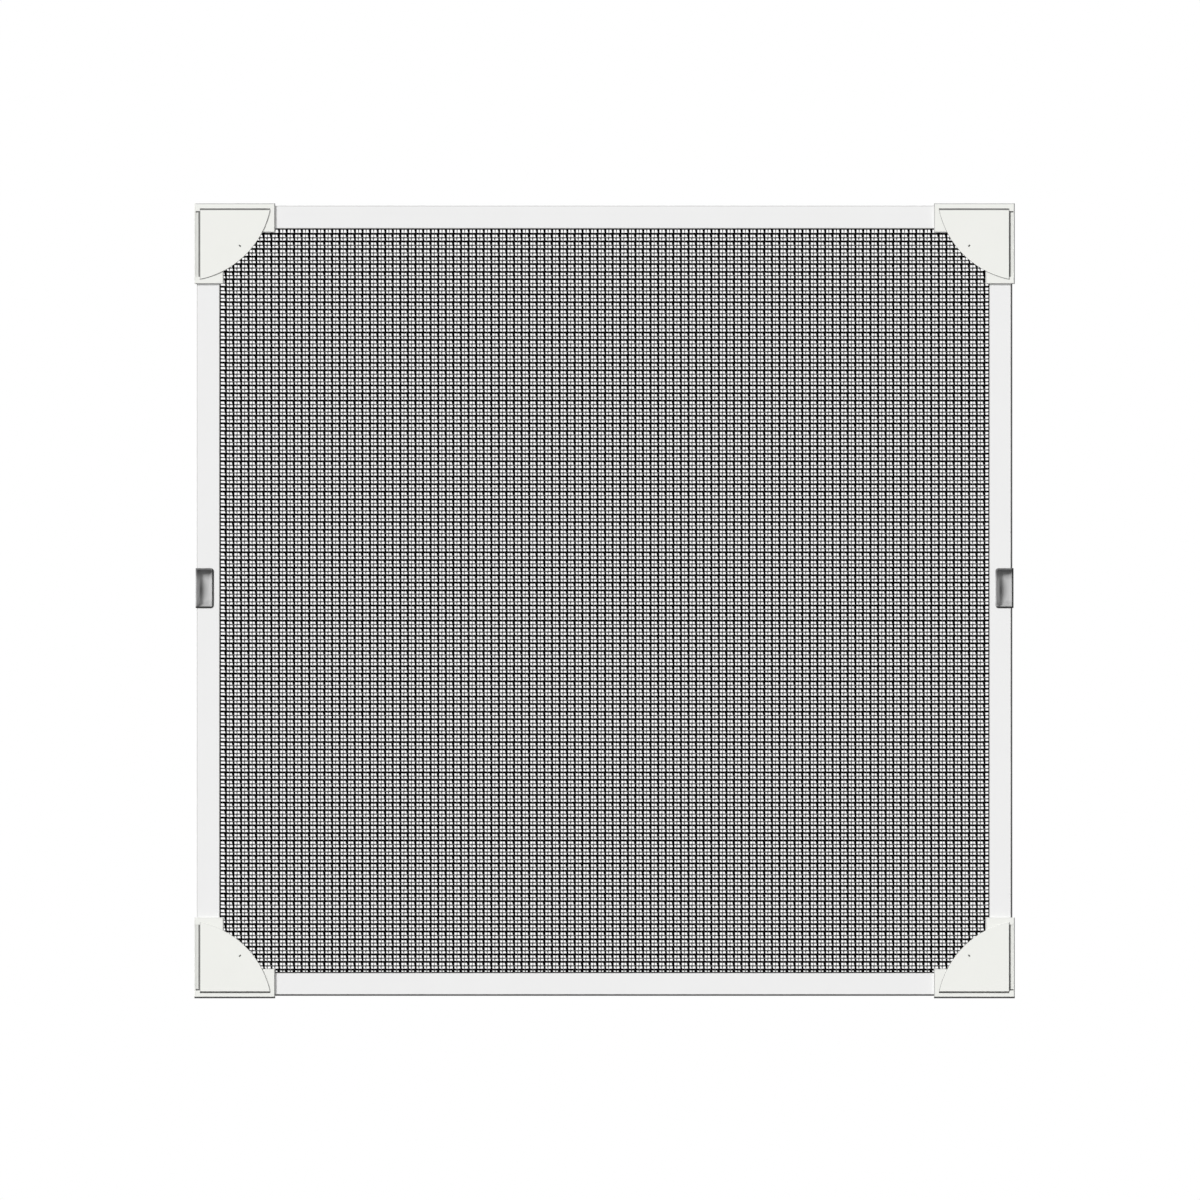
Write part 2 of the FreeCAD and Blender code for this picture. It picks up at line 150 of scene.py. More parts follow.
class GrooveSizes(bpy.types.PropertyGroup):
    """The rails' groove, measured from the outside of the frame."""

    opening: length("Opening", 21.1, "From the outside of the frame to the opening")
    lip: length("Lip", 0.7, "Wall between the groove and the opening")
    width: length("Groove width", 4.0, "Width of the groove")
    floor: length("Groove floor", 0.05, "Depth of the groove's floor behind the frame's middle")
    lip_level: length("Lip level", 3.75, "Depth of the lip's edge behind the frame's middle")
    play: length("Play", 0.1, "Clearance round the spline")


class SplineSizes(bpy.types.PropertyGroup):
    """Sizes of the spline cord."""

    rib_pitch: length("Rib pitch", 1.6, "Distance between the ribs round the cord")
    rib_height: length("Rib height", 0.12, "Height of the ribs")
    facets: IntProperty(name="Facets", description="Facets round the cord", default=14, min=6, max=32)


class PullSizes(bpy.types.PropertyGroup):
    """Sizes of a finger pull."""

    corner: length("Corner radius", 2.5, "Radius of the corners towards the cloth")
    bevel: length("Outer bevel", 0.6, "Bevel of the outer corners")
    rim: length("Rim", 0.45, "Width of the flat rim")
    flange: length("Flange", 0.6, "Thickness of the flange over the stile")
    lap: length("Lap", 1.2, "How far the flange laps over the stile")
    dish: length("Dish depth", 5.6, "Depth of the hollow below the flange's face")
    floor_inset: length("Floor inset", 4.2, "From the pull's outline to the hollow's floor")
    overhang: length("Overhang", 1.0, "How far the pull stands outside the stile")


class FinishColours(bpy.types.PropertyGroup):
    """Colours of the finishes."""

    rail: colour("Rail", (0.86, 0.86, 0.858), "Powder coat on the rails")
    rail_marks: colour("Rail marks", (0.62, 0.61, 0.59), "Handling marks on the rails")
    corner: colour("Corner", (0.86, 0.865, 0.828), "Moulded corner connectors")
    corner_marks: colour("Corner marks", (0.6, 0.59, 0.55), "Handling marks on the connectors")
    # Painted shade: the darkening in the connectors' sunk lines, side strip and pin mark, round their
    # plates and on their sleeve ends
    dust: colour("Dust", (0.2, 0.2, 0.196), "Dust in the connectors' sunk lines and round their plates")
    # Painted shade: a darker tone on the front bevels, standing for the shade along the edges
    bevel: colour("Bevel", (0.52, 0.52, 0.51), "Bevelled edges, where the finish is thin and rubbed")
    # Painted shade: a dark band along the lower and right-hand edges, the sides turned away from the key
    # light
    edge_shade: colour("Edge_shade", (0.075, 0.075, 0.074), "Grime along the lower and right-hand edges")
    heavy: colour("Heavy strand", (0.004, 0.004, 0.004), "Coating of the heavy strands")
    fine: colour("Fine strand", (0.1, 0.1, 0.1), "Coating of the fine strands")
    spline: colour("Spline", (0.055, 0.055, 0.056), "Spline cord")
    spline_dust: colour("Spline dust", (0.12, 0.118, 0.112), "Dust on the spline cord")
    pull: colour("Pull", (0.5, 0.5, 0.5), "Finger pulls")
    # Painted light: a paler tone on the walls of a hollow that face right, lifting the shade on them
    pull_wall_light: colour("Pull worn", (0.85, 0.85, 0.85), "Wall of a hollow that the fingers rub")
    # Painted shade: the dark patch on a hollow's floor and its darker upper and lower ends
    pull_shade: colour("Pull shade", (0.17, 0.17, 0.17), "Thumb smudge and dull ends of a hollow")
    # Painted shade along a pull's lower and right-hand edges
    pull_edge_shade: colour("Pull edge", (0.012, 0.012, 0.012), "Grime along a pull's edges")
    # Width of the band of painted edge shade
    band: length("Band", 1.4, "Width of the grime along an edge")


class ViewSizes(bpy.types.PropertyGroup):
    """Where the camera stands and how the studio is lit."""

    frame_width: length("View width", 994.6, "Width of the picture at the object")
    left: length("To the left", 3.8, "How far the view's middle lies left of the object's middle")
    above: length("Above", 0.64, "How far the view's middle lies above the object's middle")
    distance: length("Distance", 2500.0, "From the camera to the object")
    key: strength("Key", 2.84, "Strength of the front key light")
    back: strength("Back light", 2.7, "Strength of the light behind")
    fill: strength("Fill", 0.42, "Strength of the even light all round")


PROPERTY_GROUPS = {
    "screen_cloth": ClothSizes,
    "screen_groove": GrooveSizes,
    "screen_spline": SplineSizes,
    "screen_pull": PullSizes,
    "screen_finish": FinishColours,
    "screen_view": ViewSizes,
}


# Node trees


class Wiring:
    """A short way to add and join nodes in one tree."""

    def __init__(self, tree):
        self.tree = tree

    def add(self, kind, **settings):
        node = self.tree.nodes.new(kind)
        for name, value in settings.items():
            setattr(node, name, value)
        return node

    def join(self, start, end):
        self.tree.links.new(start, end)

    def feed(self, socket, value):
        if isinstance(value, bpy.types.NodeSocket):
            self.join(value, socket)
        else:
            socket.default_value = value

    def feed_all(self, node, values):
        for name, value in values.items():
            self.feed(node.inputs[name], value)

    def math(self, operation, first, second=0.0, third=0.0):
        node = self.add("ShaderNodeMath", operation=operation)
        for socket, value in zip(node.inputs, (first, second, third)):
            self.feed(socket, value)
        return node.outputs[0]

    def times(self, first, second):
        return self.math("MULTIPLY", first, second)

    def most(self, first, *others):
        """The greatest of some masks."""
        for other in others:
            first = self.math("MAXIMUM", first, other)
        return first

    def ramp(self, value, low, high, start=0.0, end=1.0):
        """The start up to the low value, the end past the high one, and an even slope between."""
        node = self.add("ShaderNodeMapRange", clamp=True)
        values = {"Value": value, "From Min": low, "From Max": high, "To Min": start, "To Max": end}
        self.feed_all(node, values)
        return node.outputs["Result"]

    def cover(self, mask, tone, paint):
        """A tone that a plain colour covers where the mask is 1."""
        node = self.add("ShaderNodeMix", data_type="RGBA")
        self.feed_all(node, {"Factor": mask, "A": tone, "B": (*paint, 1.0)})
        return node.outputs["Result"]

    def noise(self, place, scale, detail, distortion=0.0):
        node = self.add("ShaderNodeTexNoise")
        values = {"Vector": place, "Scale": scale, "Detail": detail, "Distortion": distortion}
        self.feed_all(node, values)
        return node.outputs["Fac"]

    def split(self, vector):
        """The three numbers of a vector."""
        node = self.add("ShaderNodeSeparateXYZ")
        self.join(vector, node.inputs["Vector"])
        return node.outputs["X"], node.outputs["Y"], node.outputs["Z"]

    def turned(self):
        """How far the surface is turned right, back and up, each from -1 to 1."""
        return self.split(self.add("ShaderNodeNewGeometry").outputs["Normal"])


def effect(name, inputs, outputs):
    """A new shader node group with its sockets, and its two end nodes."""
    tree = bpy.data.node_groups.new(name, "ShaderNodeTree")
    for label, kind, value in inputs:
        socket = tree.interface.new_socket(label, in_out="INPUT", socket_type=kind)
        if value is not None:
            socket.default_value = value
    for label, kind in outputs:
        tree.interface.new_socket(label, in_out="OUTPUT", socket_type=kind)
    wires = Wiring(tree)
    return tree, wires, wires.add("NodeGroupInput"), wires.add("NodeGroupOutput")


def grain_effect():
    """Fine surface grain: a height for the bump and a faint change of tone fifty times as broad."""
    inputs = [
        ("Place", "NodeSocketVector", None),
        ("Scale", "NodeSocketFloat", 900.0),
        ("Tone", "NodeSocketFloat", 0.02),
    ]
    outputs = [("Height", "NodeSocketFloat"), ("Shade", "NodeSocketFloat")]
    tree, wires, given, made = effect("Fine grain", inputs, outputs)
    place, scale, amount = (given.outputs[name] for name in ("Place", "Scale", "Tone"))
    small = wires.noise(place, scale, detail=3.0)
    large = wires.noise(place, wires.times(scale, 0.02), detail=4.0)
    shade = wires.math("MULTIPLY_ADD", wires.math("SUBTRACT", large, 0.5), amount, 1.0)
    wires.join(small, made.inputs["Height"])
    wires.join(shade, made.inputs["Shade"])
    return tree


def handling_effect():
    """Soft smudges left by handling, as a mask from 0 to 1."""
    inputs = [("Place", "NodeSocketVector", None), ("Amount", "NodeSocketFloat", 0.5)]
    tree, wires, given, made = effect("Handling marks", inputs, [("Mask", "NodeSocketFloat")])
    cloud = wires.noise(given.outputs["Place"], scale=14.0, detail=5.0, distortion=0.6)
    smudge = wires.ramp(cloud, 0.45, 0.75)
    wires.join(wires.times(smudge, given.outputs["Amount"]), made.inputs["Mask"])
    return tree


def shared(name, build):
    """The node group of that name, built once."""
    return bpy.data.node_groups.get(name) or build()


# Finishes


def new_material(name, base, roughness, specular):
    """A material with its shader set up, and the place on the object for its own nodes."""
    material = bpy.data.materials.new(name)
    material.use_nodes = True
    tree = material.node_tree
    tree.nodes.clear()
    wires = Wiring(tree)
    shader = wires.add("ShaderNodeBsdfPrincipled")
    output = wires.add("ShaderNodeOutputMaterial")
    wires.join(shader.outputs["BSDF"], output.inputs["Surface"])
    settings = {"Base Color": (*base, 1.0), "Roughness": roughness, "Specular IOR Level": specular}
    wires.feed_all(shader, settings)
    place = wires.add("ShaderNodeTexCoord").outputs["Object"]
    return material, wires, shader, place


def grained(wires, shader, place, base, scale, tone, bump, distance):
    """Adds the grain to a shader, and gives back the toned colour and the grain's height."""
    grain = wires.add("ShaderNodeGroup", node_tree=shared("Fine grain", grain_effect))
    wires.feed_all(grain, {"Place": place, "Scale": scale, "Tone": tone})
    relief = wires.add("ShaderNodeBump")
    height = grain.outputs["Height"]
    wires.feed_all(relief, {"Strength": bump, "Distance": distance, "Height": height})
    wires.join(relief.outputs["Normal"], shader.inputs["Normal"])
    tint = wires.add("ShaderNodeVectorMath", operation="SCALE")
    wires.feed(tint.inputs[0], tuple(base))
    wires.join(grain.outputs["Shade"], tint.inputs["Scale"])
    return tint.outputs["Vector"], height


def handled(wires, place, amount):
    """The handling marks' mask."""
    marks = wires.add("ShaderNodeGroup", node_tree=shared("Handling marks", handling_effect))
    wires.feed_all(marks, {"Place": place, "Amount": amount})
    return marks.outputs["Mask"]


def on_bevel(wires, facing):
    """1 on the bevels round a front face: neither the face itself, turned -1, nor a side, turned 0."""
    off_face = wires.ramp(facing, -0.99, -0.95)
    off_side = wires.ramp(facing, -0.3, -0.1, 1.0, 0.0)
    return wires.times(off_face, off_side)


def shaded(wires, tone, facing, colours, amount=1.0):
    """A finish with painted shade on the front bevels, by the amount given."""
    return wires.cover(wires.times(on_bevel(wires, facing), amount), tone, colours.bevel)


def near_edge(wires, coordinate, edge, band, above):
    """1 within a band of an edge, on its upper or lower side, with a soft end to the band."""
    inner, outer = band * 0.92, band * 1.08
    if above:
        return wires.ramp(coordinate, edge + inner, edge + outer, 1.0, 0.0)
    return wires.ramp(coordinate, edge - outer, edge - inner)


def edge_shaded(wires, tone, facing, near, paint):
    """A finish with painted shade where a mask says so, except on the sides and the back."""
    in_front = wires.ramp(facing, -0.12, -0.04, 1.0, 0.0)
    return wires.cover(wires.times(near, in_front), tone, paint)


def finished(wires, shader, tone, mask, plain, marked):
    """Joins the colour to a shader, and a roughness that goes from plain to marked over a mask."""
    wires.join(tone, shader.inputs["Base Color"])
    wires.join(wires.ramp(mask, 0.0, 1.0, plain, marked), shader.inputs["Roughness"])


def rail_finish(colours):
    """White powder coat over rolled metal: orange peel and handling marks, with painted shade on the bevels
    and along the lower and right-hand edges.
    """
    material, wires, shader, place = new_material(
        "rail_powder_coat", colours.rail, roughness=0.42, specular=0.4
    )
    tone, _ = grained(
        wires, shader, place, colours.rail, scale=1400.0, tone=0.03, bump=0.12, distance=0.04 * MM
    )
    mask = handled(wires, place, amount=0.6)
    tone = wires.cover(wires.times(mask, 0.06), tone, colours.rail_marks)
    _, facing, _ = wires.turned()
    # painted shade on the front bevels
    tone = shaded(wires, tone, facing, colours)
    across, _, up = wires.split(place)
    # painted shade along the bottom rail's lower edge and the right stile's right edge
    lower = near_edge(wires, up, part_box("bottom_rail")[0].z, colours.band, True)
    right = near_edge(wires, across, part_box("right_stile")[1].x, colours.band, False)
    tone = edge_shaded(wires, tone, facing, wires.most(lower, right), colours.edge_shade)
    finished(wires, shader, tone, mask, plain=0.42, marked=0.6)
    return material


def corner_hollow_shade(wires, across, depth, up, facing, rise):
    """Painted shade on a connector: in its sunk lines, side strip and pin mark, round its plate, on its
    ends.
    """
    half_width, height = frame_size()
    face = wires.ramp(facing, -0.95, -0.85, 1.0, 0.0)
    # painted shade in the sunk lines and, fainter, in the side strip
    lines = wires.times(wires.ramp(depth, -4.95 * MM, -4.6 * MM), face)
    strip = wires.times(wires.ramp(depth, -5.3 * MM, -5.15 * MM, 0.0, 0.12), face)

    from_middle = wires.math("ABSOLUTE", wires.math("SUBTRACT", up, height / 2))
    aside = wires.math("ABSOLUTE", across)
    past_leg = 20.0 * MM
    inside = wires.times(
        wires.math("LESS_THAN", aside, half_width - past_leg),
        wires.math("LESS_THAN", from_middle, height / 2 - past_leg),
    )
    times_darker = 8.0
    pin_mark = wires.times(wires.times(strip, times_darker), inside)

    on_plate = wires.ramp(depth, -5.5 * MM, -5.4 * MM, 1.0, 0.0)
    plate_edge = wires.times(on_plate, wires.ramp(facing, -0.99, -0.95))
    # the plate's sides that face up get less painted shade, as the light falls on them
    shade_unless_facing_up = wires.ramp(rise, 0.3, 0.6, 1.0, 0.25)

    sleeve_end = abs(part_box("corner_top_left")[1].x)
    on_end = wires.ramp(aside, sleeve_end + 1.0 * MM, sleeve_end + 0.9 * MM, 0.0, 0.3)
    return wires.most(
        lines,
        strip,
        pin_mark,
        wires.times(plate_edge, shade_unless_facing_up),
        wires.times(on_end, on_bevel(wires, facing)),
    )


def corner_bevel_shade(wires, across, up, rise):
    """How much shade is painted on a connector's bevels: less on the left and on a lower one's
    upward-facing ends, which face the light.
    """
    half_width, height = frame_size()
    left_edge = wires.math("LESS_THAN", across, 1.0 * MM - half_width)
    lower_half = wires.math("LESS_THAN", up, height / 2)
    upper_end = wires.times(wires.ramp(rise, 0.3, 0.6), lower_half)
    return wires.ramp(wires.most(left_edge, upper_end), 0.0, 1.0, 1.0, 0.4)


def corner_finish(colours):
    """White moulding with a fine spark texture, with painted shade in its hollows, on its bevels and along
    its lower edges.
    """
    material, wires, shader, place = new_material(
        "corner_moulding", colours.corner, roughness=0.5, specular=0.4
    )
    tone, _ = grained(
        wires, shader, place, colours.corner, scale=2200.0, tone=0.025, bump=0.15, distance=0.04 * MM
    )
    mask = handled(wires, place, amount=0.5)
    tone = wires.cover(wires.times(mask, 0.05), tone, colours.corner_marks)
    across, depth, up = wires.split(place)
    _, facing, rise = wires.turned()
    # painted shade on the front bevels
    tone = shaded(wires, tone, facing, colours, corner_bevel_shade(wires, across, up, rise))
    # painted shade in the hollows, round the plate and at the sleeve ends
    dust = corner_hollow_shade(wires, across, depth, up, facing, rise)
    tone = wires.cover(dust, tone, colours.dust)
    # painted shade along the lower edges
    lower = near_edge(wires, up, 0.0, colours.band, True)
    tone = edge_shaded(wires, tone, facing, lower, colours.edge_shade)
    finished(wires, shader, tone, mask, plain=0.48, marked=0.62)
    return material


def strand_finish(name, base, tone):
    """Coated yarn: a dull black skin with fine slubs and a little dust."""
    material, wires, shader, place = new_material(
        name, base, roughness=0.65, specular=0.012
    )
    coated, height = grained(
        wires, shader, place, base, scale=2600.0, tone=tone, bump=0.35, distance=0.08 * MM
    )
    dusty = tuple(value * 1.6 + 0.004 for value in base)
    coated = wires.cover(handled(wires, place, amount=0.35), coated, dusty)
    wires.join(coated, shader.inputs["Base Color"])
    wires.join(wires.ramp(height, 0.3, 0.7, 0.55, 0.72), shader.inputs["Roughness"])
    return material


def spline_finish(colours):
    """Soft dark cord with a dull skin and pale dust between its ribs."""
    material, wires, shader, place = new_material(
        "spline_rubber", colours.spline, roughness=0.68, specular=0.3
    )
    tone, height = grained(
        wires, shader, place, colours.spline, scale=1800.0, tone=0.3, bump=0.3, distance=0.06 * MM
    )
    tone = wires.cover(handled(wires, place, amount=0.5), tone, colours.spline_dust)
    wires.join(tone, shader.inputs["Base Color"])
    wires.join(wires.ramp(height, 0.3, 0.7, 0.6, 0.75), shader.inputs["Roughness"])
    return material


def pull_shading(wires, across, up, facing, low, high):
    """Painted shade in a pull's hollow: a soft dark patch on its floor, left of and below the middle, and
    darker upper and lower ends.
    """
    shade_left, shade_low = 3.1 * MM, 1.5 * MM
    half_width, half_height = 5.0 * MM, 11.0 * MM
    aside = wires.math("DIVIDE", wires.math("ADD", across, shade_left), half_width)
    lift = wires.math("ADD", up, shade_low - (low.z + high.z) / 2)
    above = wires.math("DIVIDE", lift, half_height)
    squares = (wires.math("POWER", value, 2.0) for value in (aside, above))
    reach = wires.math("SQRT", wires.math("ADD", *squares))
    on_floor = wires.ramp(facing, -0.98, -0.8, 1.0, 0.0)
    # painted shade on the floor, left of the middle
    smudge = wires.times(wires.ramp(reach, 0.15, 1.2, 0.9, 0.0), on_floor)
    # painted shade at the hollow's upper end, and less at its lower end
    upper_end = wires.ramp(up, high.z - 10.0 * MM, high.z - 3.0 * MM, 0.0, 0.9)
    lower_end = wires.ramp(up, low.z + 3.0 * MM, low.z + 7.0 * MM, 0.35, 0.0)
    return wires.most(smudge, upper_end, lower_end)


def pull_finish(colours):
    """Satin dark moulding with handling marks: painted light on the hollow's right-facing walls, painted
    shade in the hollow and along the lower and right edges.
    """
    material, wires, shader, place = new_material(
        "pull_satin", colours.pull, roughness=0.5, specular=0.2
    )
    tone, _ = grained(
        wires, shader, place, colours.pull, scale=3000.0, tone=0.08, bump=0.1, distance=0.03 * MM
    )
    mask = handled(wires, place, amount=0.7)
    paler = tuple(min(1.0, value * 1.15) for value in colours.pull)
    tone = wires.cover(wires.times(mask, 0.5), tone, paler)

    to_right, facing, _ = wires.turned()
    # painted light on the walls that face right and forward
    lit_wall = wires.ramp(to_right, 0.3, 0.8, 0.0, 0.3)
    in_front = wires.ramp(facing, -0.2, -0.05, 1.0, 0.0)
    tone = wires.cover(wires.times(lit_wall, in_front), tone, colours.pull_wall_light)

    low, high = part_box("finger_pull_right")
    middle = (low.x + high.x) / 2
    x, _, up = wires.split(place)
    across = wires.math("SUBTRACT", x, wires.times(wires.math("SIGN", x), middle))
    shading = pull_shading(wires, across, up, facing, low, high)
    tone = wires.cover(shading, tone, colours.pull_shade)
    # painted shade along each pull's lower and right-hand edges
    lower = near_edge(wires, up, low.z, colours.band, True)
    right = near_edge(wires, across, high.x - middle, colours.band, False)
    tone = edge_shaded(wires, tone, facing, wires.most(lower, right), colours.pull_edge_shade)
    finished(wires, shader, tone, mask, plain=0.46, marked=0.6)
    return material


def finish(name, build):
    """The material of that name, built once."""
    return bpy.data.materials.get(name) or build(bpy.context.scene.screen_finish)


# Pieces


def to_mesh(bm, name):
    """Turns a bmesh into a mesh."""
    mesh = bpy.data.meshes.new(name)
    bm.to_mesh(mesh)
    bm.free()
    return mesh


def add_piece(name, bm, material, nodes, smooth=True):
    """Makes an object of a bmesh, sets its finish, hides the parts that it stands for and attaches it to
    the root body.
    """
    mesh = to_mesh(bm, name)
    mesh.polygons.foreach_set("use_smooth", [smooth] * len(mesh.polygons))
    mesh.materials.append(material)
    piece = bpy.data.objects.new(name, mesh)
    bpy.context.scene.collection.objects.link(piece)
    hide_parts(*nodes)
    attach(piece, "root")
    return piece


def ringed_bar(sides, radius, rings):
    """A closed bar along Z cut into rings, and each of its corners with the number of its ring."""
    bm = bmesh.new()
    bmesh.ops.create_cone(
        bm, cap_ends=True, segments=sides, radius1=radius, radius2=radius, depth=1.0
    )
    runs = [edge for edge in bm.edges if abs(edge.verts[0].co.z - edge.verts[1].co.z) > 0.5]
    bmesh.ops.subdivide_edges(bm, edges=runs, cuts=rings - 2, use_grid_fill=True)
    return bm, [(vert, round((vert.co.z + 0.5) * (rings - 1))) for vert in bm.verts]


def strand(stations, sides, half_width, half_depth):
    """A strand along Z, with a ring at each station.

    A station is (place along Z, place along X, place along Y, share of the depth, share of the width)."""
    bm, corners = ringed_bar(sides, 1.0, len(stations))
    for vert, index in corners:
        along, aside, deep, kept, wide = stations[index]
        before = stations[max(index - 1, 0)]
        after = stations[min(index + 1, len(stations) - 1)]
        run = Vector((after[0] - before[0], after[2] - before[2])).normalized()
        x = aside + vert.co.x * half_width * wide
        outward = vert.co.y * half_depth * kept
        vert.co = Vector((x, deep + outward * run.x, along - outward * run.y))
    return bm


def laid(upright):
    """Leaves a bar along Z as it is, or lays it along X."""
    return Matrix.Identity(4) if upright else Matrix.Rotation(RIGHT_ANGLE, 4, "Y")


def gathered(copies):
    """One bmesh of many moved copies of the same few meshes."""
    bm = bmesh.new()
    for mesh, matrix in copies:
        moved = mesh.copy()
        moved.transform(matrix)
        bm.from_mesh(moved)
        bpy.data.meshes.remove(moved)
    return bm


def frame_size():
    """Half the frame's width and its height, from the packed solids."""
    low, high = (Vector(corner) for corner in cad_box)
    return (high.x - low.x) / 2, high.z - low.z


def places(low, high, middle, pitch, offset):
    """Each strand's count from the middle and its place, between two ends."""
    found = []
    most = math.ceil((high - low) / pitch)
    for count in range(-most, most + 1):
        place = middle + (count + offset) * pitch
        if low < place < high:
            found.append((count, place))
    return found


def turned_ends(stations, low, high, cloth, groove):
    """Adds the ends that pass over the rail's lip and down into its groove, pressed flat."""
    into = groove.lip + 0.3 * MM
    over_lip = groove.lip_level + cloth.upright_depth / 2
    path = (
        (-into, groove.floor + 1.2 * MM),
        (-into, groove.lip_level - 0.4 * MM),
        (-groove.lip * 0.5, over_lip),
        (0.3 * MM, over_lip - 0.1 * MM),
    )
    start = [(low + away, 0.0, deep, cloth.pressed, 1.0) for away, deep in path]
    end = [(high - away, 0.0, deep, cloth.pressed, 1.0) for away, deep in reversed(path)]
    return start + stations + end


class WeaveCloth(bpy.types.Operator):
    """Weaves the heavy and fine strands of the screen cloth and lays its border strip in the groove"""

    bl_idname = "window_screen.weave_cloth"
    bl_label = "Weave Cloth"

    def execute(self, context):
        cloth = context.scene.screen_cloth
        groove = context.scene.screen_groove
        half_width, height = frame_size()
        reach = half_width - groove.opening
        low, high = groove.opening, height - groove.opening
        margin = cloth.upright_width

        def columns(offset):
            return places(-reach + margin, reach - margin, cloth.shift_right, cloth.pitch, offset)

        def rows(offset):
            return places(low + margin, high - margin, height / 2 + cloth.shift_up, cloth.pitch, offset)

        heavy = strand_finish("heavy_strand", context.scene.screen_finish.heavy, 0.5)
        fine = strand_finish("fine_strand", context.scene.screen_finish.fine, 0.3)
        across, up = (-reach, reach), (low, high)
        kinds = (
            ("cloth_uprights", "heavy_upright", heavy, columns(0), rows(0), up),
            ("cloth_levels", "heavy_level", heavy, rows(0), columns(0), across),
            ("cloth_fine_uprights", "fine_upright", fine, columns(0.5), rows(0), up),
            ("cloth_fine_levels", "fine_level", fine, rows(0.5), columns(0), across),
        )
        uprights, *others = [self.strands(*kind, cloth, groove) for kind in kinds]
        others.append(self.hem(heavy, cloth, groove, half_width, height))

        return {"FINISHED"}

    def strands(self, name, kind, material, lines, crossings, ends, cloth, groove):
        """Every strand of one kind: two woven patterns, copied in turn to their places."""
        half_width, half_depth = {
            "heavy_upright": (cloth.upright_width / 2, cloth.upright_depth / 2),
            "heavy_level": (cloth.level_width / 2, cloth.level_depth / 2),
            "fine_upright": (cloth.fine_width / 2, cloth.fine_depth / 2),
            "fine_level": (cloth.fine_width / 2, cloth.fine_depth / 2),
        }[kind]
        sides = 3 if kind == "fine_upright" else 4
        patterns = []
        for phase in (0, 1):
            stations = turned_ends(self.path(crossings, phase, kind, cloth), *ends, cloth, groove)
            bm = strand(stations, sides, half_width, half_depth)
            patterns.append(to_mesh(bm, f"{name}_pattern_{phase}"))
        chance = random.Random(name)
        upright = kind.endswith("upright")
        copies = []
        for count, place in lines:
            place += chance.gauss(0.0, 0.4) * cloth.stray
            move = (place, 0, 0) if upright else (0, 0, place)
            copies.append((patterns[count % 2], Matrix.Translation(move) @ laid(upright)))
        bm = gathered(copies)
        for mesh in patterns:
            bpy.data.meshes.remove(mesh)
        return add_piece(name, bm, material, ["screen_cloth"])

    def path(self, crossings, phase, kind, cloth):
        """A strand's stations past every strand that it crosses.

        At a crossing: (place ahead, place aside, share of the width).
        Between two: (share of the pitch, place aside, depth behind the middle, share of the width)."""
        middle = cloth.middle
        waist = cloth.fine_waist
        if kind == "heavy_upright":
            half_lean = cloth.lean / 2
            at = ((-cloth.knuckle, -half_lean, 1.0), (cloth.knuckle, half_lean, cloth.upright_waist))
            bulge = cloth.crimp
            between = ()
        elif kind == "heavy_level":
            at = ((0.0, 0.0, 1.0),)
            bulge = -cloth.crimp
            between = ((0.5, (0.35, 1.0)[phase] * cloth.sag, 0.0, 1.0),)
        elif kind == "fine_level":
            at = ((0.0, cloth.fine_drop, waist * 1.15),)
            bulge = cloth.fine_crimp
            between = ((0.55, cloth.fine_drop, cloth.fine_split, 0.95),)
        else:
            at = ((cloth.pitch * 0.08, 0.0, waist * 0.7),)
            bulge = cloth.fine_crimp
            between = (
                (0.4, -cloth.fine_bow, -cloth.fine_split, 1.25),
                (0.64, 0.0, -cloth.fine_split, waist),
            )
        stations = []
        for count, place in crossings:
            side = -1 if (count + phase) % 2 else 1
            for ahead, aside, wide in at:
                stations.append((place + ahead, aside, middle + side * bulge, 1.0, wide))
            for share_on, aside, deeper, wide in between:
                stations.append((place + cloth.pitch * share_on, aside, middle + deeper, 1.0, wide))
        return stations[: len(stations) - len(between)]

    def hem(self, material, cloth, groove, half_width, height):
        """The border strip: flat over the lip, down the groove's inner wall and along its floor."""
        wall = cloth.hem_wall
        down = groove.opening - groove.lip - groove.play / 2 - wall
        toe = groove.opening - groove.lip - groove.width + groove.play
        border_deep = groove.lip_level + wall + HAIR
        floor_deep = groove.floor + wall + HAIR
        profile = (
            (groove.opening + cloth.border, border_deep),
            (down, border_deep),
            (down, floor_deep),
            (toe, floor_deep),
        )
        bm = bmesh.new()
        bmesh.ops.create_grid(bm, x_segments=1, y_segments=1, size=1.0)
        start = bm.faces[:]
        ring = [edge for face in start for edge in face.edges]
        loops = [bm.verts[:]]
        for _ in profile[1:]:
            made = bmesh.ops.extrude_edge_only(bm, edges=ring)["geom"]
            ring = [item for item in made if isinstance(item, bmesh.types.BMEdge) and item.is_boundary]
            loops.append({vert for edge in ring for vert in edge.verts})
        bmesh.ops.delete(bm, geom=start, context="FACES_ONLY")
        for loop, (inset, deep) in zip(loops, profile):
            for vert in loop:
                across = math.copysign(half_width - inset, vert.co.x)
                up = height - inset if vert.co.y > 0 else inset
                vert.co = Vector((across, deep, up))
        bmesh.ops.recalc_face_normals(bm, faces=bm.faces)
        bmesh.ops.solidify(bm, geom=bm.faces[:], thickness=wall)
        bmesh.ops.recalc_face_normals(bm, faces=bm.faces)
        return add_piece("cloth_hem", bm, material, ["screen_cloth"], smooth=False)


